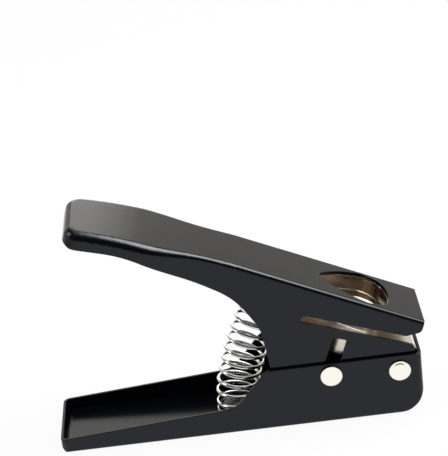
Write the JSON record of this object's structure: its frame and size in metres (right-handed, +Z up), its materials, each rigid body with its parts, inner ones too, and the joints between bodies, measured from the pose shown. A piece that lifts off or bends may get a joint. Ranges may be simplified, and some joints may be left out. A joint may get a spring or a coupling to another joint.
{
  "type": "guitar pick punch",
  "caption": "Hand-held lever punch with a slit for plastic sheet, a rounded-triangle punch and die that cuts picks, and a coil return spring.",
  "frame": {"origin": "centre of the base's flat underside", "axes": "+X from the handles towards the jaw, +Y from the near rivet heads to the far side, +Z up from the underside"},
  "size_m": [0.1624, 0.0422, 0.1052],
  "materials": {
    "black_coat": "semi-gloss black coating",
    "polished_rivet": "polished nickel plate",
    "nickel_plate": "bright nickel plate",
    "chromed_wire": "bright plated wire",
    "zinc_steel": "satin zinc plate",
    "dark_screw": "black oxide"
  },
  "bodies": {
    "base": {"base_channel": "black_coat", "pivot_rivet": "polished_rivet", "punch_pin": "polished_rivet", "pivot_washers": "zinc_steel", "lower_spring_seat": "black_coat", "return_spring": "chromed_wire"},
    "lever": {"lever_channel": "black_coat", "pivot_sleeve": "zinc_steel", "die_block": "nickel_plate", "guide_block": "nickel_plate", "stock_stop": "dark_screw", "die_screws": "dark_screw", "dowel_pins": "zinc_steel", "upper_spring_seat": "black_coat"},
    "punch": {"punch": "nickel_plate"}
  },
  "joints": [
    {"name": "lever_hinge", "type": "hinge", "parent": "base", "child": "lever", "pos_m": [0.06995, 0, 0.0217], "axis": [0, -1, 0], "range_deg": [0, 23], "stiffness_Nm_per_rad": 2.9, "springref_deg": -8.59, "deforming": ["return_spring"]},
    {"name": "punch_slide", "type": "slide", "parent": "lever", "child": "punch", "axis": [0.3453, 0, 0.9385], "range_m": [0, 0.0118]}
  ],
  "couplings": [
    {"joint": "punch_slide", "follows": "lever_hinge", "m_per_rad": 0.029323}
  ]
}
